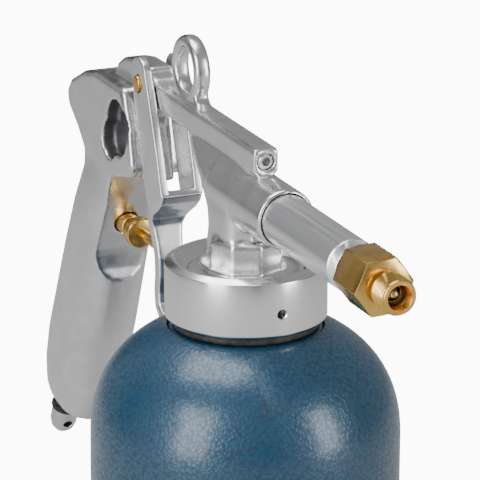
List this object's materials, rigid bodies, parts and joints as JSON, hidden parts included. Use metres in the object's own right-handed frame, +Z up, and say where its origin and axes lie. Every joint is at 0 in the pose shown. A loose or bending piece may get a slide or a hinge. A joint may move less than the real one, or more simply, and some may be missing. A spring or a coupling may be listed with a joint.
{
  "type": "pressure cup spray gun",
  "caption": "Air-powered spray gun with a pressure bottle under a cast body, pistol grip, lever trigger, push valve and a hexagonal threaded nozzle on a straight tube.",
  "frame": {"origin": "centre of the bottle's flat foot", "axes": "+Z up the bottle's axis, +X along the barrel towards the nozzle, +Y to the left of someone holding the grip"},
  "size_m": [0.3109, 0.112, 0.2387],
  "materials": {
    "hammer_blue": "hammered gloss",
    "cast_alloy": "polished casting",
    "bright_steel": "bright plated",
    "brass": "machined",
    "black_rubber": "matte"
  },
  "bodies": {
    "bottle": {"bottle_shell": "hammer_blue", "bottle_neck": "bright_steel", "neck_ring": "hammer_blue"},
    "seal": {"neck_gasket": "black_rubber"},
    "gun": {"gun_body": "cast_alloy", "riser_tube": "bright_steel", "riser_nut": "brass", "barrel_tube": "bright_steel", "fluid_pipe": "bright_steel", "fluid_tip": "bright_steel", "nozzle": "brass", "nozzle_washer": "black_rubber", "barrel_o_ring": "black_rubber", "channel_plug": "bright_steel", "trigger_pin": "brass", "pin_clip": "bright_steel", "valve_body": "brass", "stem_o_ring": "black_rubber", "valve_seat": "brass", "valve_spring": "bright_steel", "inlet_nipple": "bright_steel", "inlet_washer": "black_rubber"},
    "trigger": {"trigger": "cast_alloy"},
    "valve": {"valve_stem": "brass", "valve_poppet": "black_rubber"}
  },
  "joints": [
    {"name": "head_lift", "type": "slide", "parent": "bottle", "child": "seal", "axis": [0, 0, 1], "range_m": [0, 0.16]},
    {"name": "head_turn", "type": "hinge", "parent": "seal", "child": "gun", "pos_m": [0, 0, 0.148], "axis": [0, 0, 1], "continuous": true},
    {"name": "trigger_pull", "type": "hinge", "parent": "gun", "child": "trigger", "pos_m": [-0.083, 0, 0.2134], "axis": [0, 1, 0], "range_deg": [0, 4.5], "stiffness_Nm_per_rad": 8, "springref_deg": -3.44},
    {"name": "valve_push", "type": "slide", "parent": "gun", "child": "valve", "axis": [-1, 0, 0], "range_m": [0, 0.0052], "stiffness_N_per_m": 30, "springref_m": -0.01, "deforming": ["valve_spring"]}
  ],
  "couplings": [
    {"joint": "valve_push", "follows": "trigger_pull", "m_per_rad": 0.0644}
  ]
}
